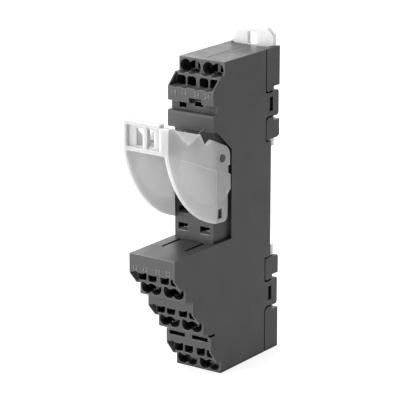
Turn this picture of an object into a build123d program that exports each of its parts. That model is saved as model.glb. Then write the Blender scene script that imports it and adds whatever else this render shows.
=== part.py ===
from build123d import *
import math
import os

# Eight-pin relay socket for a 35 mm rail, with push-in wire terminals.
# X is the width, +Y points to the rail, +Z points up. Depths are measured from the floor
# of the rail recess and heights from the base; the finished pieces are then lowered so
# that the origin lies on the rail's centre line.

# Overall width and the depths of the rear faces
width = 15.5
half = width / 2
panel_y = 4.2
parting_y = -2.4

# Heights of the zones, stacked from the base up
bottom_ledge = 3.8
row_pitches = (14.0, 12.0)
row_release_rises = (3.5, 3.5, 4.0)
first_face_height = 5.8
relay_bay_height = 32.7
panel_height = 4.8
groove_height = 2.7
top_face_height = 4.1
top_release_rise = 3.5
top_wire_face_height = 4.0
row_ledges = (bottom_ledge + sum(row_pitches), bottom_ledge + row_pitches[0], bottom_ledge)
step_top = row_ledges[0] + row_release_rises[0] + first_face_height
seat_top = step_top + relay_bay_height
groove_bottom = seat_top + panel_height
groove_top = groove_bottom + groove_height
top_release_floor = groove_top + top_face_height
top_ledge = top_release_floor + top_release_rise
height = top_ledge + top_wire_face_height
rail_offset = 0.85
rail_centre = height / 2 + rail_offset

# Walls of the moulded housing and the clearances between pieces
wall = 1.0
side_wall = 0.7
centre_wall = 1.3
base_shell = 1.25
seam = 0.12
slip = 0.06
shadow_gap = 0.5
inner_half = half - side_wall
shell_x = half - base_shell

# The two chambers, one on each side of the centre wall, and the middle of each
chamber_width = inner_half - centre_wall / 2
column_x = inner_half - chamber_width / 2

# Three lower terminal rows: each steps back under the one above it
first_front_y = -47.8
row_step = 8.7
wire_setback = 5.0
release_setback = 3.1
recess_rise = 0.55
wire_drop = 1.45
wire_face_height = 3.85
under_slope = 0.9

# Top terminal block, with the row the other way up
top_wire_y = -23.8
top_release_y = -25.7
top_front_y = -29.3
groove_y = -27.4
groove_draft = 0.5
marker_hole_x = -column_x
marker_hole_width = 2.3
marker_hole_height = 1.5
lip_notch_x = 1.6
lip_notch_width = 4.3
lip_notch_height = 1.4
notch_hole_width = 2.7
notch_hole_height = 1.4
panel_front_y = -29.4
panel_lip_radius = 0.7

# Wire entries and release openings, four in a row
wire_spread = 0.245
release_spread = 0.273
wire_half_pitch = wire_spread * chamber_width
release_half_pitch = release_spread * chamber_width
outer_wire_x = column_x + wire_half_pitch
inner_wire_x = column_x - wire_half_pitch
wire_xs = (-outer_wire_x, -inner_wire_x, inner_wire_x, outer_wire_x)
outer_release_x = column_x + release_half_pitch
inner_release_x = column_x - release_half_pitch
release_xs = (-outer_release_x, -inner_release_x, inner_release_x, outer_release_x)
mouth_radius = 1.93
mouth_depth = 3.0
window_size = 2.2
bore_depth = 3.4
release_width = 3.0
release_corner = 0.8
release_sill = 0.95
release_wall = 0.45
rib_half = 0.24
trough_radius = 1.3
trough_depth = 0.3

# Core that stands between the lever's cheeks, and the seat for the relay's pins
cheek_thickness = 1.1
cheek_gap = 0.05
core_half = half - cheek_thickness - cheek_gap
core_front_y = -27.6
pocket_rear_y = -20.0
pocket_slant_front = (-27.2, seat_top - 0.2)
pocket_slant_rear_height = seat_top - 6.4
pin_x = 3.75
pin_pitch = 5.0
first_pin_height = step_top + 3.8
pin_heights = [first_pin_height + row * pin_pitch for row in range(3)]
coil_pin_height = seat_top - 6.4
slot_width = 3.3
slot_height = 1.5
slot_bevel = 0.7

# Slots for bridge bars and marker strips
bar_slot_x = 4.05
bar_slot_width = 0.9
bar_slot_front = -37.4
bar_slot_rear = -28.2
bar_slot_depth = 1.4
strip_slot_x = 4.0
strip_slot_width = 5.5
strip_slot_height = 1.25
strip_slot_centre = row_ledges[2] + 7.4
strip_slot_depth = 1.4
side_slit_rear = -28.2
side_slit_height = 0.75
side_slit_drop = 1.0
side_slit_depth = 0.9
seam_line_width = 0.25
seam_line_depth = 0.15
seam_line_front = -21.5

# Lever: two cheeks on a pivot, a label bracket in front and a bar across the top
pivot = (-24.4, seat_top - 8.3)
boss_radius = 1.15
pivot_clearance = 0.05
ear_radius = 3.75
ear_sweep = 72.0
ear_notch_depth = 0.9
ear_notch_top = 2.6
ear_notch_foot = 4.6
ear_skirt = 5.3
waist_step = 1.0
toe_round = 1.6
heel_round = 1.7
crest_round = 0.8
valley_round = 0.55
cheek_rear_y = pivot[0] + ear_radius
cheek_arc_middle = (-41.5, step_top + 14.2)
cheek_toe = (-27.3, step_top + 6.0)
cheek_heel = (cheek_rear_y - waist_step, step_top + 5.7)
waist_height = cheek_heel[1] + 7.5
bracket_bottom = pivot[1] + 5.9
bracket_top = pivot[1] + 13.5
bracket_front_y = -50.6
bracket_wall_y = -49.6
bracket_wall = 1.2
bracket_bevel = 1.0
flange_rise = 0.9
flange_right_x = 4.9
flange_thickness = 1.1
window_bottom = bracket_bottom + 1.5
window_top = bracket_top - 1.1
window_left = (-3.65, -1.05)
window_right = (0.3, 2.4)
rib_projection = 0.5
hump_front = (-47.6, bracket_top - 0.3)
valley_front = (-40.8, pivot[1] + 7.1)
hump_middle = (-35.25, pivot[1] + 9.4)
valley_rear = (-32.6, pivot[1] + 5.1)
shoulder = (-29.9, pivot[1] + 6.5)
bar_thickness = 1.1
bar_end_gap = 0.5
latch_window_front = -26.35
latch_window_depth = 2.3
latch_window_foot = cheek_heel[1] + 1.3
latch_window_height = 2.9

# Shallow steps in a cheek's outer face
step_sink = 0.2
ridge_front = (-44.4, pivot[1] + 4.2)
ridge_rear_height = pivot[1] - ear_skirt
panel_sink = 0.15
panel_margin = 0.5
rim_front = (-46.3, cheek_arc_middle[1] + 9.9)
rim_middle = (-40.3, cheek_arc_middle[1] + 3.1)
rim_rear = (-31.5, cheek_arc_middle[1] - 2.4)
panel_rear_y = -27.6
heel_relief = 0.35
heel_relief_front = -27.7
heel_relief_corner = cheek_heel[1] + 5.3
heel_relief_rear = waist_height + 2.2
heel_relief_round = 1.5

# Rail clips that slide in the rear base
rail_half = 17.5
rail_clearance = 0.35
rail_thickness = 1.0
recess_half = rail_half + rail_clearance
clip_gap = 0.1
hook_gap = 0.3
clip_front_y = rail_thickness + clip_gap
clip_rear_y = 2.9
clip_side_gap = 0.2
clip_half = shell_x - clip_side_gap
hook_reach = 15.0
hook_front_y = rail_thickness + hook_gap
hook_rear_y = 3.85
clip_travel = 3.0
tab_inset = 0.4
tab_half = half - tab_inset
tab_rise = 5.1
tab_base_gap = 0.15
tab_corner = 2.2
tool_slot_width = 2.8
tool_slot_height = 3.4
lip_width = 0.9
rib_x = 3.6
rib_width = 1.0
post_width = 3.0
post_height = 3.0
post_offset = rail_half + 18.5
finger_width = 1.2
finger_length = 9.0
finger_slit = 0.5

# Rear base: side zones that show beside the housing, notches and snap nubs
tab_y = 3.8
tab_corner_radius = 0.9
notch_y = 1.2
notch_height = 1.1
zone_corner = 0.8
recess_corner = 1.3
foot_corner = 1.6
upper_tab = (height - 20.18, height - 12.62)
lower_tab = (13.42, 21.68)
tab_window_depth = 2.0
tab_window_height = 4.2
tab_window_y = -0.1
nub_sink = 0.5

# Contact strips and wire springs
strip_thickness = 0.6
plate_gap = 0.4
plate_width = chamber_width - 2 * plate_gap
fork_width = 3.0
fork_gap = 0.5
fork_spread = 1.0
fork_mouth_y = -25.9
fork_throat = 1.6
fork_taper = 2.4
fork_flare = 0.5
run_ys = (-17.0, -12.3, -7.6)
spring_thickness = 0.3
spring_width = 2.4
spring_start = 4.3
spring_reach = 8.2
spring_height = 8.2
spring_tip = 10.2
spring_bend = 1.5
spring_post_gap = 0.12


def face_yz(points):
    """A flat outline of (depth, height) points, seen from the side."""
    return make_face(Polyline(*points, close=True))


def across(outline, x_low, x_high):
    """An outline seen from the side, made solid from x_low to x_high."""
    return extrude(Plane.YZ.offset(x_low) * outline, amount=x_high - x_low)


def block(x_range, y_range, z_range):
    """A rectangular block between three pairs of limits."""
    size = [high - low for low, high in (x_range, y_range, z_range)]
    middle = [(high + low) / 2 for low, high in (x_range, y_range, z_range)]
    return Pos(*middle) * Box(*size)


def through(sketch, y_start, y_end):
    """A sketch seen from the front, made solid from y_start back to y_end."""
    return extrude(Plane.XZ.offset(-y_start) * sketch, amount=y_start - y_end)


def both_sides(solid):
    """The solid and its mirror image across the middle of the width."""
    return [solid, mirror(solid, about=Plane.YZ)]


def row_front(row):
    return first_front_y + row * row_step


def row_wire_y(row):
    return row_front(row) + wire_setback


def row_release_top(row):
    return row_ledges[row] + row_release_rises[row]


def row_recess_top(row):
    """The roof of a row's release recess, which is a little above the side walls' chamfers."""
    return row_release_top(row) + recess_rise


def row_bottom(row):
    return max(row_ledges[row] - wire_face_height, 0)


def row_points(row, chamfered):
    """The outline of one lower row, from the foot of its front face to the next row."""
    front = row_front(row)
    ledge = row_ledges[row]
    release_y = front + release_setback
    if chamfered:
        points = [(front, row_release_top(row))]
    else:
        points = [(front, row_recess_top(row)), (release_y, row_recess_top(row))]
    points.append((release_y, ledge))
    points.append((row_wire_y(row), ledge))
    points.append((row_wire_y(row), row_bottom(row)))
    if row + 1 < len(row_ledges):
        points.append((row_front(row + 1), row_bottom(row) - under_slope))
    return points


def front_outline(chamfered):
    """The housing's outline from the side, with or without the side walls' chamfers."""
    points = [(parting_y, height), (top_wire_y, height), (top_wire_y, top_ledge)]
    points.append((top_release_y, top_ledge))
    if not chamfered:
        points.append((top_release_y, top_release_floor))
    points.append((top_front_y, top_release_floor))
    points.append((top_front_y, groove_top))
    points.append((groove_y, groove_top - groove_draft))
    points.append((groove_y, groove_bottom))
    points.append((panel_front_y, groove_bottom))
    points.append((panel_front_y, seat_top))
    points.append((core_front_y, seat_top))
    points.append((core_front_y, step_top))
    points.append((first_front_y, step_top))
    for row in range(len(row_ledges)):
        points.extend(row_points(row, chamfered))
    points.append((parting_y, 0))
    return points


def zone_outlines(grow):
    """The four side zones of the rear base, each grown by a clearance."""
    front = parting_y - grow
    rear = panel_y + grow
    recess_top = rail_centre + recess_half
    recess_foot = rail_centre - recess_half
    top_zone = [
        (front, height + grow), (rear, height + grow),
        (rear, upper_tab[1] + seam + notch_height - grow),
        (notch_y - grow, upper_tab[1] + seam + notch_height - grow),
        (notch_y - grow, upper_tab[1] + seam - grow),
        (front, upper_tab[1] + seam - grow),
    ]
    upper_zone = [
        (front, recess_top - grow), (panel_y - notch_height, recess_top - grow),
        (rear, recess_top + notch_height / 2),
        (rear, upper_tab[0] - seam - notch_height + grow),
        (notch_y - grow, upper_tab[0] - seam - notch_height + grow),
        (notch_y - grow, upper_tab[0] - seam + grow),
        (front, upper_tab[0] - seam + grow),
    ]
    lower_zone = [
        (front, recess_foot + grow), (panel_y - notch_height / 2, recess_foot + grow),
        (rear, recess_foot - notch_height / 2),
        (rear, lower_tab[1] + seam + notch_height - grow),
        (notch_y - grow, lower_tab[1] + seam + notch_height - grow),
        (notch_y - grow, lower_tab[1] + seam - grow),
        (front, lower_tab[1] + seam - grow),
    ]
    foot_zone = [
        (front, -grow), (rear, -grow),
        (rear, lower_tab[0] - seam - notch_height + grow),
        (notch_y - grow, lower_tab[0] - seam - notch_height + grow),
        (notch_y - grow, lower_tab[0] - seam + grow),
        (front, lower_tab[0] - seam + grow),
    ]
    corner_sizes = ((top_zone, zone_corner), (upper_zone, recess_corner),
                    (lower_zone, zone_corner), (foot_zone, foot_corner))
    faces = []
    for points, corner in corner_sizes:
        face = face_yz(points)
        wanted = Vector(*points[-1])
        corners = face.vertices().sort_by(lambda v: (v.center() - wanted).length)
        faces.append(fillet(corners[0], corner))
    return faces


def tab_outline(tab):
    """One rear tab of the housing's side wall, rounded at its rear corners."""
    low, high = tab
    face = face_yz([(parting_y - wall, low), (tab_y, low), (tab_y, high), (parting_y - wall, high)])
    rear_corners = face.vertices().sort_by(Axis.X)[-2:]
    return fillet(rear_corners, tab_corner_radius)


def wire_entry(x, lip_y, wire_y, ledge, plate_face, up):
    """One wire entry: a round mouth that scallops the lip in front of it, and the square
    window behind it that opens onto the contact plate."""
    window_end = plate_face + up * window_size
    mouth = through(Pos(x, ledge - up * wire_drop) * Circle(mouth_radius),
                    lip_y, wire_y + mouth_depth)
    window = block((x - window_size / 2, x + window_size / 2),
                   (wire_y + mouth_depth, wire_y + bore_depth + seam),
                   sorted((plate_face, window_end)))
    return [mouth, window]


def release_hole(x, sill, ceiling, rounded_low, y_start, y_end):
    """One release opening, rounded at the end that is away from the open side."""
    sketch = Pos(x, (sill + ceiling) / 2) * Rectangle(release_width, ceiling - sill)
    corners = sketch.vertices().sort_by(Axis.Y)
    rounded = corners[:2] if rounded_low else corners[2:]
    return through(fillet(rounded, release_corner), y_start, y_end)


def trough(x, surface, upward, y_start, y_end):
    """A shallow round groove that leads a tool into a release opening."""
    sink = trough_depth - trough_radius
    centre = surface + sink if upward else surface - sink
    return through(Pos(x, centre) * Circle(trough_radius), y_start, y_end)


def pocket_outline(grow):
    """The side pocket that holds one lever cheek, grown by a wall."""
    front = panel_front_y - wall
    return [
        (front, step_top - grow), (pocket_rear_y + grow, step_top - grow),
        (pocket_rear_y + grow, pocket_slant_rear_height),
        (pocket_slant_front[0] + grow, pocket_slant_front[1] + grow),
        (front, pocket_slant_front[1] + grow),
    ]


def shelf_top(row):
    """The floor that a lower row's contact lies on."""
    if row + 1 < len(row_ledges):
        return row_bottom(row) - under_slope + wall + seam
    return wall


def row_plate_height(row):
    return shelf_top(row) + strip_thickness


def top_plate_height():
    return height - wall - strip_thickness


def make_cavities():
    """The two chambers behind the front walls, with the shelves and wire windows' blocks left in."""
    stepped = face_yz(front_outline(False))
    inside = offset(stepped, amount=-wall, kind=Kind.INTERSECTION)
    open_rear = face_yz([
        (parting_y - 2 * wall, wall), (parting_y, wall),
        (parting_y, height - wall), (parting_y - 2 * wall, height - wall),
    ])
    cavity = across(inside + open_rear, centre_wall / 2, inner_half)
    cavity -= across(face_yz(pocket_outline(wall)), core_half - side_wall, half)
    for row in range(len(row_ledges) - 1):
        shelf_rear = run_ys[row] + (run_ys[row + 1] - run_ys[row]) / 2
        top = shelf_top(row)
        cavity -= block((0, half), (row_front(row + 1), shelf_rear), (top - wall, top))
    for row in range(len(row_ledges)):
        wire_y = row_wire_y(row)
        cavity -= block((0, half), (wire_y, wire_y + bore_depth),
                        (0, row_ledges[row] + release_sill))
        rib_y = (row_front(row) + release_setback, wire_y + bore_depth)
        rib_z = (row_ledges[row], row_recess_top(row) + wall)
        cavity -= block((column_x - rib_half, column_x + rib_half), rib_y, rib_z)
    cavity -= block((0, half), (top_wire_y, top_wire_y + bore_depth),
                    (top_ledge - release_sill, height))
    return both_sides(cavity)


def row_cutters(wire_x, release_x):
    """The wire entry, release opening and tool groove of every row at one place."""
    cutters = []
    for row in range(len(row_ledges)):
        ledge = row_ledges[row]
        roof = row_recess_top(row)
        release_y = row_front(row) + release_setback
        cutters.extend(wire_entry(wire_x, release_y, row_wire_y(row), ledge,
                                  row_plate_height(row), 1))
        cutters.append(release_hole(release_x, ledge + release_sill, roof, True,
                                    row_front(row), row_wire_y(row)))
        cutters.append(trough(release_x, roof, True, row_front(row) - wall, release_y + wall))
    cutters.extend(wire_entry(wire_x, top_release_y, top_wire_y, top_ledge,
                              top_plate_height(), -1))
    cutters.append(release_hole(release_x, top_release_floor, top_ledge - release_sill, False,
                                top_front_y, top_wire_y))
    cutters.append(trough(release_x, top_release_floor, False,
                          top_front_y - wall, top_release_y + wall))
    return cutters


def pin_cutters(x, pin_height):
    """One slot for a relay pin, with the bevel that leads the pin in."""
    slot = through(Pos(x, pin_height) * Rectangle(slot_width, slot_height),
                   core_front_y - wall, core_front_y + 2 * wall)
    sill = pin_height - slot_height / 2
    bevel = face_yz([
        (core_front_y - wall, sill - slot_bevel - wall), (core_front_y, sill - slot_bevel),
        (core_front_y + slot_bevel, sill), (core_front_y - wall, sill),
    ])
    return [slot, across(bevel, x - slot_width / 2, x + slot_width / 2)]


def accessory_cutters():
    """The slots for bridge bars and marker strips, the groove's holes and the seam line."""
    cutters = []
    for x in (-bar_slot_x, bar_slot_x):
        cutters.append(block((x - bar_slot_width / 2, x + bar_slot_width / 2),
                             (bar_slot_front, bar_slot_rear), (step_top - bar_slot_depth, step_top)))
    last_front = row_front(len(row_ledges) - 1)
    for x in (-strip_slot_x, strip_slot_x):
        slot = Pos(x, strip_slot_centre) * Rectangle(strip_slot_width, strip_slot_height)
        cutters.append(through(slot, last_front - wall, last_front + strip_slot_depth))
    slit_row = len(row_ledges) - 2
    slit_top = row_bottom(slit_row) - side_slit_drop
    cutters.extend(both_sides(block((half - side_slit_depth, half),
                                    (row_wire_y(slit_row), side_slit_rear),
                                    (slit_top - side_slit_height, slit_top))))
    marker = Pos(marker_hole_x, (groove_bottom + groove_top) / 2)
    cutters.append(through(marker * Rectangle(marker_hole_width, marker_hole_height),
                           groove_y - wall, groove_y + 2 * wall))
    notch_hole = Pos(lip_notch_x, groove_top - groove_draft)
    cutters.append(through(notch_hole * Rectangle(notch_hole_width, notch_hole_height),
                           groove_y - wall, groove_y + 2 * wall))
    notch = Pos(lip_notch_x, groove_top) * Rectangle(lip_notch_width, 2 * lip_notch_height)
    cutters.append(through(notch, top_front_y - wall, groove_y))
    cutters.append(block((-seam_line_width / 2, seam_line_width / 2), (seam_line_front, parting_y),
                         (height - seam_line_depth, height)))
    return cutters


def tab_middle(tab):
    return (tab[0] + tab[1]) / 2


def make_shell():
    """The housing's outer form with its open recesses and hollow chambers."""
    body = across(face_yz(front_outline(True)), -half, half)
    lip_line = Vector(0, panel_front_y, groove_bottom)
    lip = body.edges().filter_by(Axis.X).sort_by(lambda e: (e.center() - lip_line).length)[0]
    body = fillet(lip, panel_lip_radius)
    recess_half_width = half - release_wall
    recesses = face_yz(front_outline(True)) - face_yz(front_outline(False))
    cutters = [across(recesses, -recess_half_width, recess_half_width)]
    cutters.extend(both_sides(across(face_yz(pocket_outline(0)), core_half, half)))
    cutters.extend(make_cavities())
    return body - cutters


def make_rear_walls():
    """The housing's side walls behind the parting line, with their tabs."""
    slab = face_yz([
        (parting_y - wall, lower_tab[0]), (0, lower_tab[0]),
        (0, upper_tab[1]), (parting_y - wall, upper_tab[1]),
    ])
    walls = across(slab + tab_outline(lower_tab) + tab_outline(upper_tab), shell_x + slip, half)
    return both_sides(walls - [across(zone, 0, half) for zone in zone_outlines(shadow_gap)])


def make_housing():
    """The front moulding: terminal rows, relay core, top block and rear side tabs."""
    body = make_shell() + make_rear_walls()
    cutters = accessory_cutters()
    for tab in (lower_tab, upper_tab):
        cutters.append(block(
            (-half, half),
            (tab_window_y - tab_window_depth / 2, tab_window_y + tab_window_depth / 2),
            (tab_middle(tab) - tab_window_height / 2, tab_middle(tab) + tab_window_height / 2)))
    for zone in zone_outlines(shadow_gap):
        cutters.extend(both_sides(across(zone, shell_x, half)))
    for wire_x, release_x in zip(wire_xs, release_xs):
        cutters.extend(row_cutters(wire_x, release_x))
    for x in (-pin_x, pin_x):
        for pin_height in (*pin_heights, coil_pin_height):
            cutters.extend(pin_cutters(x, pin_height))
    body -= cutters
    boss_plane = Plane((core_half - seam, *pivot), x_dir=(0, 1, 0), z_dir=(1, 0, 0))
    boss = boss_plane * Cylinder(boss_radius, half - core_half + seam,
                                 align=(Align.CENTER, Align.CENTER, Align.MIN))
    return body + both_sides(boss)


def make_rear_base():
    """The rear moulding: a plate with side walls, clip guides, lips, posts and snap nubs."""
    base = block((-shell_x, shell_x), (parting_y, 0), (0, height))
    for zone in zone_outlines(0):
        base += both_sides(across(zone, shell_x - seam, half))
    hook_room = recess_half + clip_travel + 2 * seam
    lip_spans = (
        (0, lower_tab[0] - seam - notch_height),
        (lower_tab[1] + seam + notch_height, rail_centre - hook_room),
        (rail_centre + hook_room, upper_tab[0] - seam - notch_height),
        (upper_tab[1] + seam + notch_height, height),
    )
    for span in lip_spans:
        lip = block((shell_x - lip_width, shell_x), (clip_rear_y + slip, panel_y), span)
        base += both_sides(lip)
    for sign in (-1, 1):
        z_near = rail_centre + sign * (recess_half + wall)
        z_far = height - wall if sign > 0 else wall
        span = (min(z_near, z_far), max(z_near, z_far))
        for x in (-rib_x, rib_x):
            base += block((x - rib_width / 2, x + rib_width / 2), (0, clip_front_y - slip), span)
        post_z = rail_centre + sign * post_offset
        base += block((-post_width / 2, post_width / 2), (0, clip_rear_y),
                      (post_z - post_height / 2, post_z + post_height / 2))
    for tab in (lower_tab, upper_tab):
        nub_half = tab_window_height / 2 - seam
        nub = block(
            (shell_x - seam, half - nub_sink), (tab_window_y - tab_window_depth / 2 + seam, 0),
            (tab_middle(tab) - nub_half, tab_middle(tab) + nub_half))
        base += both_sides(nub)
    return base


def make_clip(sign, end_height):
    """One white rail clip: a sliding plate with a hook, a travel window and spring fingers."""
    hook_tip = rail_centre + sign * hook_reach
    hook_root = rail_centre + sign * recess_half

    def span(a, b):
        return (min(a, b), max(a, b))

    clip = block((-clip_half, clip_half), (clip_front_y, clip_rear_y),
                 span(hook_root - sign * wall, end_height))
    clip += block((-clip_half, clip_half), (hook_front_y, hook_rear_y), span(hook_tip, hook_root))
    post_z = rail_centre + sign * post_offset
    post_inner = post_z - sign * (post_height / 2 + clip_travel + seam)
    post_outer = post_z + sign * (post_height / 2 + seam)
    clip -= block((-post_width / 2 - seam, post_width / 2 + seam), (0, panel_y),
                  span(post_inner, post_outer))
    slit_x = clip_half - finger_width - finger_slit
    slit = block((slit_x, clip_half - finger_width), (0, panel_y),
                 span(post_outer - sign * finger_length, post_outer))
    tip_cut = block((slit_x, clip_half), (0, panel_y), span(post_outer, post_outer + sign * finger_slit))
    return clip - both_sides(slit + tip_cut)


def make_upper_clip():
    """The upper clip, whose tool tab stands above the socket."""
    clip = make_clip(1, height + tab_base_gap + wall)
    tab_top = height + tab_base_gap + tab_rise
    tab = Pos(0, (height + tab_base_gap + tab_top) / 2) * Rectangle(2 * tab_half, tab_rise)
    tab = chamfer(tab.vertices().sort_by(Axis.Y)[2:], tab_corner)
    clip += through(tab, clip_front_y, clip_rear_y)
    slot_foot = height + tab_base_gap
    clip -= block((-tool_slot_width / 2, tool_slot_width / 2), (0, panel_y),
                  (slot_foot, slot_foot + tool_slot_height))
    return clip


def make_lower_clip():
    """The lower clip, which ends inside the foot of the rear base."""
    clip = make_clip(-1, seam * 2)
    clip -= block((-tool_slot_width / 2, tool_slot_width / 2), (0, panel_y),
                  (wall * 2, wall * 2 + tool_slot_height / 2))
    return clip


def cheek_outline():
    """The outline of one lever cheek: a sweeping lower arc, two valleys and a round ear."""
    ear = CenterArc(pivot, ear_radius, 0, ear_sweep)
    notch_rear_y = cheek_rear_y - ear_notch_depth
    bracket_foot = (bracket_front_y, bracket_bottom)
    lower_edge = ThreePointArc(bracket_foot, cheek_arc_middle, cheek_toe)
    rear_edge = Polyline(
        cheek_toe, cheek_heel, (cheek_heel[0], waist_height),
        (cheek_rear_y, waist_height + waist_step), (cheek_rear_y, pivot[1] - ear_skirt),
        (notch_rear_y, pivot[1] - ear_notch_foot), (notch_rear_y, pivot[1] - ear_notch_top),
        (cheek_rear_y, pivot[1] - ear_notch_top), ear @ 0)
    crests = Polyline(ear @ 1, shoulder, valley_rear, hump_middle, valley_front, hump_front,
                      (bracket_wall_y, bracket_top), (bracket_front_y, bracket_top - bracket_bevel),
                      bracket_foot)
    face = make_face([*lower_edge.edges(), *rear_edge.edges(), *ear.edges(), *crests.edges()])
    rounds = ((cheek_heel, heel_round), (cheek_toe, toe_round), (hump_middle, crest_round),
              (shoulder, crest_round), (hump_front, crest_round),
              (valley_front, valley_round), (valley_rear, valley_round))
    for point, radius in rounds:
        wanted = Vector(*point)
        corner = face.vertices().sort_by(lambda v: (v.center() - wanted).length)[0]
        face = fillet(corner, radius)
    return face


def upper_step_outline():
    """The upper part of a cheek's face, which lies a little lower than the part below it."""
    beyond = cheek_rear_y + wall
    slope = (ridge_rear_height - ridge_front[1]) / (cheek_rear_y - ridge_front[0])
    return face_yz([
        ridge_front, (beyond, ridge_rear_height + slope * wall), (beyond, bracket_top),
        (valley_front[0], bracket_top), valley_front,
    ])


def panel_outline():
    """The sunk panel between a cheek's ridge and the rim that follows its lower edge."""
    rim = ThreePointArc(rim_front, rim_middle, rim_rear)
    slope = (ridge_rear_height - ridge_front[1]) / (cheek_rear_y - ridge_front[0])
    top_rear = ridge_front[1] - panel_margin + slope * (panel_rear_y - ridge_front[0])
    rest = Polyline(rim_rear, (panel_rear_y, rim_rear[1]), (panel_rear_y, top_rear),
                    (ridge_front[0], ridge_front[1] - panel_margin), rim_front)
    return make_face([*rim.edges(), *rest.edges()])


def heel_relief_outline():
    """The shallow sunk area at the heel of a cheek, round the latch window."""
    rear = cheek_rear_y + wall
    foot = cheek_toe[1] - wall
    face = face_yz([
        (heel_relief_front, foot), (heel_relief_front, heel_relief_corner),
        (rear, heel_relief_rear), (rear, foot),
    ])
    corner = face.vertices().sort_by(
        lambda v: (v.center() - Vector(heel_relief_front, heel_relief_corner)).length)[0]
    return fillet(corner, heel_relief_round)


def make_lever():
    """The white lever that holds and pushes out the relay."""
    inner = core_half + cheek_gap
    cheek = across(cheek_outline(), inner, half)
    hole_plane = Plane((half, *pivot), x_dir=(0, 1, 0), z_dir=(1, 0, 0))
    cheek -= hole_plane * Cylinder(boss_radius + pivot_clearance, 4 * cheek_thickness)
    cheek -= block((0, half + wall), (latch_window_front, latch_window_front + latch_window_depth),
                   (latch_window_foot, latch_window_foot + latch_window_height))
    cheek -= across(heel_relief_outline(), half - heel_relief, half + wall)
    cheek -= across(upper_step_outline(), half - step_sink, half + wall)
    cheek -= across(panel_outline(), half - panel_sink, half + wall)
    left, right = both_sides(cheek)
    lever = left + right

    front_wall = block((-half, half), (bracket_wall_y, bracket_wall_y + bracket_wall),
                       (bracket_bottom, bracket_top))
    for low_x, high_x in (window_left, window_right):
        front_wall -= block((low_x, high_x), (bracket_front_y - wall, valley_front[0]),
                            (window_bottom, window_top))
    lever += front_wall
    lever += block((-half, half), (bracket_front_y, bracket_wall_y + bracket_wall),
                   (bracket_bottom, bracket_bottom + flange_thickness))
    lever += block((-half, flange_right_x), (bracket_front_y, bracket_wall_y + bracket_wall),
                   (bracket_top - flange_thickness + flange_rise, bracket_top + flange_rise))
    lever += block((-half, flange_right_x), (bracket_wall_y, bracket_wall_y + bracket_wall),
                   (bracket_bottom, bracket_top + flange_rise))
    for low_x, high_x in ((-half, -inner), (flange_right_x, half)):
        lever += block((low_x, high_x), (bracket_front_y, bracket_wall_y + bracket_wall),
                       (bracket_bottom, bracket_top))
    for low_x, high_x in (window_left, window_right):
        lever -= block((low_x, high_x), (bracket_front_y - wall, valley_front[0]),
                       (window_bottom, window_top))
    lever += block((window_left[1], window_right[0]),
                   (bracket_wall_y - rib_projection, bracket_wall_y + bracket_wall),
                   (bracket_bottom, bracket_top))

    slope = Vector(hump_middle[0] - valley_front[0], hump_middle[1] - valley_front[1]).normalized()
    normal = Vector(slope.Y, -slope.X)
    bar_front = Vector(*valley_front)
    bar_rear = Vector(*hump_middle) - slope * bar_end_gap
    sunk = normal * bar_thickness
    corners = [bar_front, bar_rear, bar_rear + sunk, bar_front + sunk]
    lever += across(face_yz([(c.X, c.Y) for c in corners]), -inner - wall / 2, inner + wall / 2)
    return lever


def prong_outline(pin_height, side_up):
    """One prong of a pin fork, which narrows to a throat and flares at its mouth."""
    throat = strip_thickness / 2 + fork_gap / 2
    middles = [
        (fork_mouth_y + fork_throat + fork_taper, fork_spread), (fork_mouth_y + fork_throat, throat),
        (fork_mouth_y, throat + fork_flare),
    ]
    outer = [(y, pin_height + side_up * (z + strip_thickness / 2)) for y, z in middles]
    inner = [(y, pin_height + side_up * (z - strip_thickness / 2)) for y, z in middles]
    return face_yz(outer + inner[::-1])


def make_contact(side, wire_y, plate_face, up, run_y, pin_height):
    """One folded contact: a plate for two wires, a run along the housing and a fork for the pin."""
    x = side * pin_x
    back_face = plate_face - up * strip_thickness
    plate_front = wire_y + bore_depth + seam
    post_y = wire_y + spring_start + spring_reach + spring_post_gap + strip_thickness
    plate_x_range = (side * column_x - plate_width / 2, side * column_x + plate_width / 2)
    x_range = (x - fork_width / 2, x + fork_width / 2)
    post_end = plate_face + up * (spring_height + spring_thickness + seam)
    contact = block(plate_x_range, (plate_front, post_y), sorted((plate_face, back_face)))
    contact += block(plate_x_range, (post_y - strip_thickness, post_y), sorted((back_face, post_end)))

    run_rear = run_y + strip_thickness
    fork_end = pin_height + up * (fork_spread + strip_thickness / 2)
    contact += block(x_range, (post_y - strip_thickness, run_rear), sorted((plate_face, back_face)))
    contact += block(x_range, (run_y, run_rear), sorted((back_face, fork_end)))
    taper_y = fork_mouth_y + fork_throat + fork_taper
    for side_up in (-1, 1):
        arm = pin_height + side_up * fork_spread
        contact += block(x_range, (taper_y, run_rear),
                         (arm - strip_thickness / 2, arm + strip_thickness / 2))
        contact += across(prong_outline(pin_height, side_up), *x_range)
    return contact


def make_spring(x, wire_y, plate_face, up):
    """One wire spring: a leg under the housing, a bend, and a leg that grips the wire."""
    rear = spring_start + spring_reach
    route = FilletPolyline(
        (wire_y + rear, plate_face + up * spring_height),
        (wire_y + spring_start, plate_face + up * spring_height),
        (wire_y + spring_tip, plate_face + up * (spring_thickness + seam)),
        radius=spring_bend)
    leaf = trace(route, line_width=spring_thickness)
    return across(leaf, x - spring_width / 2, x + spring_width / 2)


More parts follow.
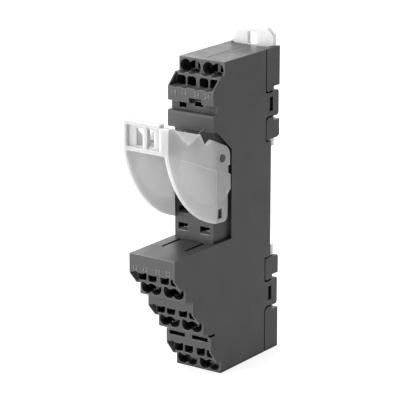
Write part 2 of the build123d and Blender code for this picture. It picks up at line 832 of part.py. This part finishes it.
def make_pieces():
    """Every piece of the socket, by name."""
    pieces = {
        "housing": make_housing(),
        "rear_base": make_rear_base(),
        "lever": make_lever(),
        "upper_rail_clip": make_upper_clip(),
        "lower_rail_clip": make_lower_clip(),
    }
    for side, side_name in ((-1, "left"), (1, "right")):
        rows = []
        for row in range(len(row_ledges)):
            rows.append((f"row{row + 1}", row_wire_y(row), row_plate_height(row), 1,
                         run_ys[row], pin_heights[row]))
        rows.append(("top", top_wire_y, top_plate_height(), -1, run_ys[-1], coil_pin_height))
        for row_name, wire_y, plate_face, up, run_y, pin_height in rows:
            pieces[f"{side_name}_{row_name}_contact"] = make_contact(
                side, wire_y, plate_face, up, run_y, pin_height)
            for place, x in (("inner", wire_xs[2]), ("outer", wire_xs[3])):
                pieces[f"{side_name}_{row_name}_{place}_spring"] = make_spring(
                    side * x, wire_y, plate_face, up)
    return pieces


os.makedirs("parts", exist_ok=True)
for name, piece in make_pieces().items():
    placed = Pos(0, 0, -rail_centre) * piece
    placed.label = name
    export_step(placed, f"parts/{name}.step")
    print(name, len(placed.solids()), round(placed.volume, 1))
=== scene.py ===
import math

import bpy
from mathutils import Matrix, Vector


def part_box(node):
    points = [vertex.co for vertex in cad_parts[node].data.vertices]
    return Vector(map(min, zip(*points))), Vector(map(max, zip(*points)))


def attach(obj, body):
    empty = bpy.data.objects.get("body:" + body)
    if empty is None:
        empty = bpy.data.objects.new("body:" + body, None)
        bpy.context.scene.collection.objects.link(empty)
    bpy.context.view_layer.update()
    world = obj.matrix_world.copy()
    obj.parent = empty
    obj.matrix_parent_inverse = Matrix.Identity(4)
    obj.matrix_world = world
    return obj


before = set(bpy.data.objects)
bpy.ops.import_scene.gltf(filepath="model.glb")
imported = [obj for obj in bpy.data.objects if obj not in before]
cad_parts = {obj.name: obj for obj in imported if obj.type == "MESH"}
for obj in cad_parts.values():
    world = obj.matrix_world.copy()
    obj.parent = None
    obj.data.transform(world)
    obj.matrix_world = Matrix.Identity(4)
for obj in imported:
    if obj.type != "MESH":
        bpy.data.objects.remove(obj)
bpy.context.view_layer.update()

# %% [markdown]
# # A slim relay socket in white studio light
#
# The real object is a plug-in base for a small relay. It clips onto a 35 mm rail, holds
# the relay with a white lever, and takes its wires in stepped rows of push-in terminals.
# The CAD frame already has every moulding and every contact in its place, so this lesson
# keeps those meshes, softens their edges, gives each one the finish of its real material,
# adds the small raised terminal numbers, and sets up the studio and the camera.

MM = 0.001

# %% [markdown]
# ## Softer edges
#
# A moulding never has a knife edge: the steel of its mould is cut with a small radius, and
# that radius catches a thin line of light. The frame's meshes come from a solid model with
# sharp edges. They could be rounded by hand or remeshed, but a Bevel modifier rounds every
# sharp edge by the same real radius, and leaves the CAD mesh itself as it was. The Weld
# before it joins the split corners that the import brings, and the Decimate joins the
# triangles of each flat face, so that the bevel runs along real edges only.
#
# The bevel is not clamped. Clamping shrinks every radius of a mesh to what its tightest
# corner allows, and here that is next to nothing. The new edge faces take the piece's
# second material, a paler one that paints a highlight along the edges, and the weighted
# normals keep the large faces flat beside them.

# %% Edge rounding
SHARP_ANGLE = math.radians(28)    # an edge sharper than this is rounded
FLAT_ANGLE = math.radians(0.4)    # triangles that meet flatter than this are one face
WELD_DISTANCE = 0.0005 * MM       # corners nearer than this are one corner
FACE_WEIGHT = 90                  # how far a large face rules the shading beside it


def round_edges(node, radius, segments, edge_slot):
    """Rounds the sharp edges of one CAD node with modifiers, and shades it smooth."""
    node.data.polygons.foreach_set("use_smooth", [True] * len(node.data.polygons))
    weld = node.modifiers.new("join_corners", "WELD")
    weld.merge_threshold = WELD_DISTANCE
    flat = node.modifiers.new("join_flat_faces", "DECIMATE")
    flat.decimate_type = "DISSOLVE"
    flat.angle_limit = FLAT_ANGLE
    bevel = node.modifiers.new("moulded_edge", "BEVEL")
    bevel.width = radius
    bevel.segments = segments
    bevel.limit_method = "ANGLE"
    bevel.angle_limit = SHARP_ANGLE
    bevel.use_clamp_overlap = False
    bevel.material = edge_slot
    normals = node.modifiers.new("flat_faces_stay_flat", "WEIGHTED_NORMAL")
    normals.mode = "FACE_AREA"
    normals.weight = FACE_WEIGHT


# %% [markdown]
# Each kind of piece has an edge radius of its own. The two black mouldings have the finest
# one, because the walls between their openings are thin. The rail clips have the roundest,
# and the stamped metal has just a trace, which keeps the finish of the face beside it.

# %% Edge radius of every piece
MOULDED_RADII = {
    "housing": 0.06 * MM,
    "rear_base": 0.06 * MM,
    "lever": 0.07 * MM,
    "upper_rail_clip": 0.1 * MM,
    "lower_rail_clip": 0.1 * MM,
}
MOULDED_SEGMENTS = 2
# the edge faces take a paler material in this slot: a painted highlight
EDGE_HIGHLIGHT_SLOT = 1      # the second material of a moulded piece
STAMPED_RADIUS = 0.04 * MM
STAMPED_SEGMENTS = 1
SAME_FINISH = -1          # the material of the face beside the edge

for name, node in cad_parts.items():
    if name in MOULDED_RADII:
        round_edges(node, MOULDED_RADII[name], MOULDED_SEGMENTS, EDGE_HIGHLIGHT_SLOT)
    else:
        round_edges(node, STAMPED_RADIUS, STAMPED_SEGMENTS, SAME_FINISH)
print("rounded the edges of", len(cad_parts), "pieces")

# %% [markdown]
# ## Helpers for the finishes
#
# Colours are picked as sRGB hex values, as they look on a screen, and Blender's sockets
# want linear light, so one function turns them. Another adds a node with its settings,
# values and links, which keeps each material short enough to read at once. A noise texture
# seldom leaves the range from 0.3 to 0.7, so that range is stretched where gloss follows it.

# %% Colour and node helpers
GAMMA = 2.4
TOE_LIMIT = 0.04045
TOE_SLOPE = 12.92
OFFSET = 0.055
NOISE_LOW, NOISE_HIGH = 0.3, 0.7


def linear(hex_colour):
    """An sRGB hex colour such as #808080 as a linear colour with alpha."""
    channels = [int(hex_colour[i:i + 2], 16) / 255 for i in (1, 3, 5)]
    turned = [c / TOE_SLOPE if c <= TOE_LIMIT else ((c + OFFSET) / (1 + OFFSET)) ** GAMMA
              for c in channels]
    return (*turned, 1.0)


def add_node(tree, kind, settings=None, values=None, links=None):
    """Adds one node, with its settings, its input values and the outputs linked into it."""
    node = tree.nodes.new(kind)
    for key, value in (settings or {}).items():
        setattr(node, key, value)
    for socket, value in (values or {}).items():
        node.inputs[socket].default_value = value
    for socket, source in (links or {}).items():
        tree.links.new(source, node.inputs[socket])
    return node


def new_finish(name):
    """An empty material with an output node: (material, its node tree, the output)."""
    finish = bpy.data.materials.new(name)
    finish.use_nodes = True
    finish.node_tree.nodes.clear()
    return finish, finish.node_tree, add_node(finish.node_tree, "ShaderNodeOutputMaterial")


def per_metre(spacing):
    """The texture scale that puts one feature every so many metres."""
    return 1 / spacing


print("white is", linear("#FFFFFF"))

# %% [markdown]
# ## Black glass-filled polyamide
#
# The housing and the rear base are nylon with short glass fibres, moulded in a spark
# eroded mould. To the eye that is a dark neutral grey, never quite black, with a satin
# skin: the fibres lie near the surface and break up the gloss in specks. The grain of such
# a mould is about 0.05 mm, too fine for this picture, so it is drawn at 0.3 mm. A slower
# change of gloss, a few millimetres across, is where the melt flowed.
#
# The wire entries look almost black. On the real part they end in deep, narrow chambers
# that no light comes back from, and here some of those are shallower. So shade is painted
# into the colour: it sinks towards black where the surface is closed in, which the Ambient
# Occlusion node measures. A colour for each opening would do as well, but would take many
# more materials.
#
# Along every edge the plastic is smoother and reflects more, and its colour there is
# painted paler: a painted highlight that draws the thin light outlines.

# %% Black polyamide
GRAIN_SPACING = 0.3 * MM
FLOW_SPACING = 6 * MM
BLACK_SKIN_RELIEF = 0.02 * MM
NYLON_IOR = 1.53
POCKET_DEPTH = 2.5 * MM
POCKET_PAINTED_SHADE = "#0C0C0C"
CLOSED_IN, OPEN = 0.3, 0.85    # the share of open sky at which a pocket is black, or clear


def black_polyamide(name, light_hex, dark_hex, smoothest=0.36, roughest=0.48, shine=0.16):
    """Satin black moulded nylon, with specks of fibre, slow flow marks and painted shade in
    pockets.
    """
    finish, tree, output = new_finish(name)
    place = add_node(tree, "ShaderNodeTexCoord")
    grain = add_node(tree, "ShaderNodeTexNoise",
                     values={"Scale": per_metre(GRAIN_SPACING), "Detail": 3.0,
                             "Roughness": 0.6},
                     links={"Vector": place.outputs["Object"]})
    flow = add_node(tree, "ShaderNodeTexNoise",
                    values={"Scale": per_metre(FLOW_SPACING), "Detail": 2.0},
                    links={"Vector": place.outputs["Object"]})
    tone = add_node(tree, "ShaderNodeMix", settings={"data_type": "RGBA"},
                    values={"A": linear(dark_hex), "B": linear(light_hex)},
                    links={"Factor": grain.outputs["Fac"]})
    # painted shade: the colour sinks to black where the surface is closed in
    depth = add_node(tree, "ShaderNodeAmbientOcclusion", settings={"samples": 8},
                     values={"Distance": POCKET_DEPTH})
    shade = add_node(tree, "ShaderNodeMapRange",
                     values={"From Min": CLOSED_IN, "From Max": OPEN},
                     links={"Value": depth.outputs["AO"]})
    shade_painted_in = add_node(tree, "ShaderNodeMix", settings={"data_type": "RGBA"},
                        values={"A": linear(POCKET_PAINTED_SHADE)},
                        links={"Factor": shade.outputs["Result"], "B": tone.outputs["Result"]})
    gloss = add_node(tree, "ShaderNodeMapRange",
                     values={"From Min": NOISE_LOW, "From Max": NOISE_HIGH,
                             "To Min": smoothest, "To Max": roughest},
                     links={"Value": flow.outputs["Fac"]})
    skin = add_node(tree, "ShaderNodeBump",
                    values={"Strength": 0.12, "Distance": BLACK_SKIN_RELIEF},
                    links={"Height": grain.outputs["Fac"]})
    plastic = add_node(tree, "ShaderNodeBsdfPrincipled",
                       values={"IOR": NYLON_IOR, "Specular IOR Level": shine},
                       links={"Base Color": shade_painted_in.outputs["Result"],
                              "Roughness": gloss.outputs["Result"],
                              "Normal": skin.outputs["Normal"]})
    tree.links.new(plastic.outputs["BSDF"], output.inputs["Surface"])
    return finish


housing_nylon = black_polyamide("black_polyamide_housing", "#4A4A4B", "#444445")
base_nylon = black_polyamide("black_polyamide_base", "#48484A", "#424243")
# painted highlight: the edge faces get a paler colour besides their extra gloss
edge_highlight_nylon = black_polyamide("black_polyamide_painted_edge_highlight", "#6A6A6B", "#626263",
                             smoothest=0.24, roughest=0.32, shine=0.5)
print("made", [finish.name for finish in (housing_nylon, base_nylon, edge_highlight_nylon)])

# %% [markdown]
# ## White unfilled polyamide
#
# The lever and the rail clips are white nylon without fibres. Light goes some millimetres
# into it and right through a cheek of the lever, so the far cheek is lit from behind and
# edges glow while broad faces stay a soft grey. Subsurface scattering gives that glow,
# which a plain white paint would not. Because each light then counts from both sides, the
# colour itself has to be greyer than the nylon looks. The rims are so thin that less of
# the light is lost inside them, so their colour is painted paler and less milky: a painted
# glow along the rims.

# %% White polyamide
CLOUD_SPACING = 9 * MM
WHITE_GRAIN_SPACING = 0.4 * MM
WHITE_SKIN_RELIEF = 0.02 * MM
WHITE_SMOOTHEST, WHITE_ROUGHEST = 0.34, 0.44
SCATTER_DEPTH = 5 * MM


def white_polyamide(name, light_hex, dark_hex, milkiness=1.0):
    """Milky moulded nylon that lets light through its thin walls."""
    finish, tree, output = new_finish(name)
    place = add_node(tree, "ShaderNodeTexCoord")
    cloud = add_node(tree, "ShaderNodeTexNoise",
                     values={"Scale": per_metre(CLOUD_SPACING), "Detail": 2.0},
                     links={"Vector": place.outputs["Object"]})
    grain = add_node(tree, "ShaderNodeTexNoise",
                     values={"Scale": per_metre(WHITE_GRAIN_SPACING), "Detail": 2.0},
                     links={"Vector": place.outputs["Object"]})
    tone = add_node(tree, "ShaderNodeMix", settings={"data_type": "RGBA"},
                    values={"A": linear(dark_hex), "B": linear(light_hex)},
                    links={"Factor": cloud.outputs["Fac"]})
    gloss = add_node(tree, "ShaderNodeMapRange",
                     values={"From Min": NOISE_LOW, "From Max": NOISE_HIGH,
                             "To Min": WHITE_SMOOTHEST, "To Max": WHITE_ROUGHEST},
                     links={"Value": cloud.outputs["Fac"]})
    skin = add_node(tree, "ShaderNodeBump",
                    values={"Strength": 0.06, "Distance": WHITE_SKIN_RELIEF},
                    links={"Height": grain.outputs["Fac"]})
    plastic = add_node(tree, "ShaderNodeBsdfPrincipled",
                       values={"IOR": NYLON_IOR, "Subsurface Weight": milkiness,
                               "Subsurface Radius": (1.0, 1.0, 1.0),
                               "Subsurface Scale": SCATTER_DEPTH},
                       links={"Base Color": tone.outputs["Result"],
                              "Roughness": gloss.outputs["Result"],
                              "Normal": skin.outputs["Normal"]})
    tree.links.new(plastic.outputs["BSDF"], output.inputs["Surface"])
    return finish


lever_nylon = white_polyamide("white_polyamide_lever", "#A3A3A3", "#9B9B9B")
clip_nylon = white_polyamide("white_polyamide_clip", "#BEBEBE", "#B6B6B6")
# painted glow: the thin rims get a paler, less milky colour than the faces
rim_glow_nylon = white_polyamide("white_polyamide_painted_rim_glow", "#C6C6C6", "#BEBEBE", milkiness=0.5)
print("made", [finish.name for finish in (lever_nylon, clip_nylon, rim_glow_nylon)])

# %% [markdown]
# ## Tinned copper and spring steel
#
# The contacts are stamped from copper and tinned, which looks like a warm, slightly cloudy
# silver. The wire springs are cold rolled steel: brighter, cooler, and with fine lines
# along the roll. Only a glimpse of either shows through the openings, but they are seen
# when the part is taken apart. A plain metal would do for the glimpse. A noise that moves
# the tone and the gloss together costs little more and stands a closer look. Roll lines
# are about 0.02 mm apart, too fine to show, and are drawn at 0.1 mm.

# %% The two metals
TIN_CLOUD_SPACING = 1.5 * MM
TIN_SMOOTHEST, TIN_ROUGHEST = 0.26, 0.42
ROLL_LINE_SPACING = 0.1 * MM
ROLL_LINE_LENGTH = 8 * MM
STEEL_SMOOTHEST, STEEL_ROUGHEST = 0.2, 0.36


def tinned_copper(name, light_hex, dark_hex):
    """Dull, slightly cloudy tin over copper."""
    finish, tree, output = new_finish(name)
    place = add_node(tree, "ShaderNodeTexCoord")
    cloud = add_node(tree, "ShaderNodeTexNoise",
                     values={"Scale": per_metre(TIN_CLOUD_SPACING), "Detail": 4.0},
                     links={"Vector": place.outputs["Object"]})
    tone = add_node(tree, "ShaderNodeMix", settings={"data_type": "RGBA"},
                    values={"A": linear(dark_hex), "B": linear(light_hex)},
                    links={"Factor": cloud.outputs["Fac"]})
    gloss = add_node(tree, "ShaderNodeMapRange",
                     values={"To Min": TIN_SMOOTHEST, "To Max": TIN_ROUGHEST},
                     links={"Value": cloud.outputs["Fac"]})
    metal = add_node(tree, "ShaderNodeBsdfPrincipled", values={"Metallic": 1.0},
                     links={"Base Color": tone.outputs["Result"],
                            "Roughness": gloss.outputs["Result"]})
    tree.links.new(metal.outputs["BSDF"], output.inputs["Surface"])
    return finish


def rolled_steel(name, light_hex, dark_hex):
    """Bright spring steel with fine lines along the roll."""
    finish, tree, output = new_finish(name)
    place = add_node(tree, "ShaderNodeTexCoord")
    across = per_metre(ROLL_LINE_SPACING)
    along = per_metre(ROLL_LINE_LENGTH)
    stretched = add_node(tree, "ShaderNodeMapping", values={"Scale": (across, along, along)},
                         links={"Vector": place.outputs["Object"]})
    lines = add_node(tree, "ShaderNodeTexNoise", values={"Scale": 1.0, "Detail": 2.0},
                     links={"Vector": stretched.outputs["Vector"]})
    tone = add_node(tree, "ShaderNodeMix", settings={"data_type": "RGBA"},
                    values={"A": linear(dark_hex), "B": linear(light_hex)},
                    links={"Factor": lines.outputs["Fac"]})
    gloss = add_node(tree, "ShaderNodeMapRange",
                     values={"To Min": STEEL_SMOOTHEST, "To Max": STEEL_ROUGHEST},
                     links={"Value": lines.outputs["Fac"]})
    metal = add_node(tree, "ShaderNodeBsdfPrincipled", values={"Metallic": 1.0},
                     links={"Base Color": tone.outputs["Result"],
                            "Roughness": gloss.outputs["Result"]})
    tree.links.new(metal.outputs["BSDF"], output.inputs["Surface"])
    return finish


contact_tin = tinned_copper("tinned_copper", "#C9C3B6", "#ADA79A")
spring_finish = rolled_steel("rolled_spring_steel", "#C4C5C8", "#A0A1A4")
print("made", contact_tin.name, "and", spring_finish.name)

# %% [markdown]
# ## A finish for every piece
#
# The finishes could be set piece by piece. The name of each node says what it is and so
# what it is made of, and one loop is enough. The moulded pieces have a second slot for
# their edge faces, which the bevel fills with a paler colour: a painted highlight.

# %% Hand out the finishes
MOULDED_FINISHES = {
    "housing": housing_nylon,
    "rear_base": base_nylon,
    "lever": lever_nylon,
    "upper_rail_clip": clip_nylon,
    "lower_rail_clip": clip_nylon,
}
# paler materials for the edge faces: painted highlights along the edges
EDGE_HIGHLIGHT_FINISHES = {
    "housing": edge_highlight_nylon,
    "rear_base": edge_highlight_nylon,
    "lever": rim_glow_nylon,
    "upper_rail_clip": rim_glow_nylon,
    "lower_rail_clip": rim_glow_nylon,
}


def finish_of(name):
    """The finish of one CAD node, by its name."""
    if name in MOULDED_FINISHES:
        return MOULDED_FINISHES[name]
    return spring_finish if name.endswith("spring") else contact_tin


for name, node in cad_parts.items():
    node.data.materials.clear()
    node.data.materials.append(finish_of(name))
    if name in EDGE_HIGHLIGHT_FINISHES:
        node.data.materials.append(EDGE_HIGHLIGHT_FINISHES[name])
print("finished", len(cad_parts), "pieces")

# %% [markdown]
# ## Raised terminal numbers
#
# Sockets like this one have small numbers moulded above their wire entries, standing a
# tenth of a millimetre proud. They are cut into the mould, so they are the same plastic as
# the housing, and their colour is paler than the face around them. A text object would do,
# but it is turned into a mesh so that it is a plain solid. It reaches a little into the
# wall, so that no gap shows behind it. The digits are generic terminal numbers, one to a
# wire entry.

# %% Numbers above the wire entries
ENTRY_XS = (-5.65 * MM, -2.15 * MM, 2.15 * MM, 5.65 * MM)
DIGIT_HEIGHT = 1.45 * MM
DIGIT_RELIEF = 0.1 * MM
DIGIT_SINK = 0.05 * MM
CAP_HEIGHT_SHARE = 0.72     # how tall a digit is in a font of size 1
CURVE_STEPS = 3
BASE_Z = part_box("housing")[0].z
ROW_NUMBERS = (
    ("row1_numbers", ("12", "12", "22", "22"), -47.8 * MM, BASE_Z + 34.6 * MM),
    ("top_numbers", ("14", "14", "24", "24"), -29.3 * MM, BASE_Z + 81.3 * MM),
)
# a paler colour than the face around the numbers
number_nylon = black_polyamide("black_polyamide_pale_numbers", "#7C7C7D", "#6E6E6F")


def raised_digits(name, digits, x, face_y, foot_z):
    """One raised number that stands on a front face, as a mesh."""
    text = bpy.data.curves.new(name, "FONT")
    text.body = digits
    text.size = DIGIT_HEIGHT / CAP_HEIGHT_SHARE
    text.align_x = "CENTER"
    text.extrude = (DIGIT_RELIEF + DIGIT_SINK) / 2
    text.resolution_u = CURVE_STEPS
    drawn = bpy.data.objects.new(name + "_drawn", text)
    bpy.context.scene.collection.objects.link(drawn)
    bpy.context.view_layer.update()
    mesh = bpy.data.meshes.new_from_object(drawn)
    bpy.data.objects.remove(drawn)
    number = bpy.data.objects.new(name, mesh)
    bpy.context.scene.collection.objects.link(number)
    middle_y = face_y + (DIGIT_SINK - DIGIT_RELIEF) / 2
    for vertex in mesh.vertices:
        right, up, out = vertex.co
        vertex.co = (x + right, middle_y - out, foot_z + up)
    mesh.materials.clear()
    mesh.materials.append(number_nylon)
    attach(number, "base")
    return number


numbers = []
for row_name, row_digits, face_y, foot_z in ROW_NUMBERS:
    for place, (digits, x) in enumerate(zip(row_digits, ENTRY_XS), start=1):
        numbers.append(raised_digits(f"{row_name}_{place}", digits, x, face_y, foot_z))
print("raised", len(numbers), "numbers")

# %% [markdown]
# ## The studio
#
# A catalogue picture of this kind is taken on white, with large soft lights, so that the
# floor burns out to pure white and the black part still has three clear greys: a bright
# top, a middle front and a dark right side.
#
# The floor is the opal acrylic of a light table. It is lit from below, so that it is pure
# white everywhere and hardly a shadow stays. A glow of its own does the same here, and its
# colour only has to send back the rest. A white paper floor would send too much light up
# the right side of the part.

# %% Floor
FLOOR_SIZE = 12.0
FLOOR_GAP = 0.05 * MM       # keeps the floor and the flat underside from flickering
FLOOR_Z = BASE_Z - FLOOR_GAP
TABLE_GLOW = 0.78
CLOUD_COUNT = 40.0          # soft clouds to a metre of opal acrylic
floor_mesh = bpy.data.meshes.new("floor")
edge = FLOOR_SIZE / 2
corners = [(x * edge, y * edge, FLOOR_Z) for x, y in ((-1, -1), (1, -1), (1, 1), (-1, 1))]
floor_mesh.from_pydata(corners, [], [(0, 1, 2, 3)])
floor = bpy.data.objects.new("floor", floor_mesh)
bpy.context.scene.collection.objects.link(floor)
opal, opal_tree, opal_output = new_finish("opal_acrylic_light_table")
opal_cloud = add_node(opal_tree, "ShaderNodeTexNoise",
                      values={"Scale": CLOUD_COUNT, "Detail": 2.0})
opal_tone = add_node(opal_tree, "ShaderNodeMix", settings={"data_type": "RGBA"},
                     values={"A": linear("#A6A6A6"), "B": linear("#AAAAAA")},
                     links={"Factor": opal_cloud.outputs["Fac"]})
opal_surface = add_node(opal_tree, "ShaderNodeBsdfPrincipled",
                        values={"Roughness": 0.9, "Specular IOR Level": 0.1,
                                "Emission Color": linear("#FFFFFF"),
                                "Emission Strength": TABLE_GLOW},
                        links={"Base Color": opal_tone.outputs["Result"]})
opal_tree.links.new(opal_surface.outputs["BSDF"], opal_output.inputs["Surface"])
floor_mesh.materials.append(opal)
print("floor at", round(FLOOR_Z / MM, 2), "mm")

# %% [markdown]
# Four softboxes light the part. The one overhead and the one behind, low, give the top its
# sheen at this flat angle. The large one on the left opens up the front faces, and a small
# one, low on the left, reaches under the lips of the terminal rows and into the lever. The
# right side has no light of its own and lives on the glow of the floor. A studio picture
# around the scene would be less work, but softboxes can be set one by one until each face
# has its grey.

# %% Softboxes
MIDDLE = Vector((0.0, -20 * MM, 0.0))


def softbox(name, azimuth, elevation, distance, size, power):
    """A square area light that looks at the object. Azimuth 0 is in front of it."""
    a, e = math.radians(azimuth), math.radians(elevation)
    away = Vector((math.sin(a) * math.cos(e), -math.cos(a) * math.cos(e), math.sin(e)))
    lamp = bpy.data.lights.new(name, "AREA")
    lamp.shape = "SQUARE"
    lamp.size = size
    lamp.energy = power
    box = bpy.data.objects.new(name, lamp)
    box.location = MIDDLE + away * distance
    box.rotation_mode = "QUATERNION"
    box.rotation_quaternion = (-away).to_track_quat("-Z", "Y")
    bpy.context.scene.collection.objects.link(box)


softbox("overhead_softbox", azimuth=0, elevation=85, distance=1.2, size=1.4, power=10.5)
softbox("left_softbox", azimuth=-50, elevation=62, distance=1.2, size=1.4, power=11.5)
softbox("back_softbox", azimuth=215, elevation=28, distance=1.2, size=1.2, power=11)
softbox("front_left_softbox", azimuth=-35, elevation=10, distance=1.1, size=0.5, power=14.5)

# %% [markdown]
# The walls of the room are pale to the eye but give almost no light, because the part is
# lit by the softboxes alone. One Background does both: its strength is low for light and
# higher where the camera looks straight at the wall.

# %% White room
ROOM_LIGHT = 0.03
WALL_BRIGHTNESS = 0.66
world = bpy.data.worlds.new("white_room")
world.use_nodes = True
room = world.node_tree.nodes["Background"]
room.inputs["Color"].default_value = linear("#FFFFFF")
seen = add_node(world.node_tree, "ShaderNodeLightPath")
strength = add_node(world.node_tree, "ShaderNodeMapRange",
                    values={"To Min": ROOM_LIGHT, "To Max": WALL_BRIGHTNESS},
                    links={"Value": seen.outputs["Is Camera Ray"]})
world.node_tree.links.new(strength.outputs["Result"], room.inputs["Strength"])
bpy.context.scene.world = world
bpy.context.scene.view_settings.view_transform = "Standard"
print("world:", world.name)

# %% [markdown]
# ## The camera
#
# The photograph was taken from the front right and a little above, with a long lens from
# well over half a metre, so upright lines stay upright. A camera can be placed by eye, but
# a fit to corners of the socket whose real places are known gives the place and the lens
# together.

# %% Camera at the photograph's angle
CAMERA_AZIMUTH = math.radians(35.21)
CAMERA_ELEVATION = math.radians(15.77)
CAMERA_PLACE = Vector((0.3447, -0.5131, 0.1728))
SENSOR_WIDTH = 36.0        # millimetres, as is the lens
LENS_LENGTH = 197.6
NEAREST, FARTHEST = 0.05, 50.0
camera_lens = bpy.data.cameras.new("long_lens")
camera_lens.sensor_width = SENSOR_WIDTH
camera_lens.lens = LENS_LENGTH
camera_lens.clip_start = NEAREST
camera_lens.clip_end = FARTHEST
camera = bpy.data.objects.new("camera", camera_lens)
camera.location = CAMERA_PLACE
camera_back = Vector((
    math.sin(CAMERA_AZIMUTH) * math.cos(CAMERA_ELEVATION),
    -math.cos(CAMERA_AZIMUTH) * math.cos(CAMERA_ELEVATION),
    math.sin(CAMERA_ELEVATION)))
camera.rotation_mode = "QUATERNION"
camera.rotation_quaternion = (-camera_back).to_track_quat("-Z", "Y")
bpy.context.scene.collection.objects.link(camera)
bpy.context.scene.camera = camera
print("camera", round(CAMERA_PLACE.length, 3), "m from the rail centre")
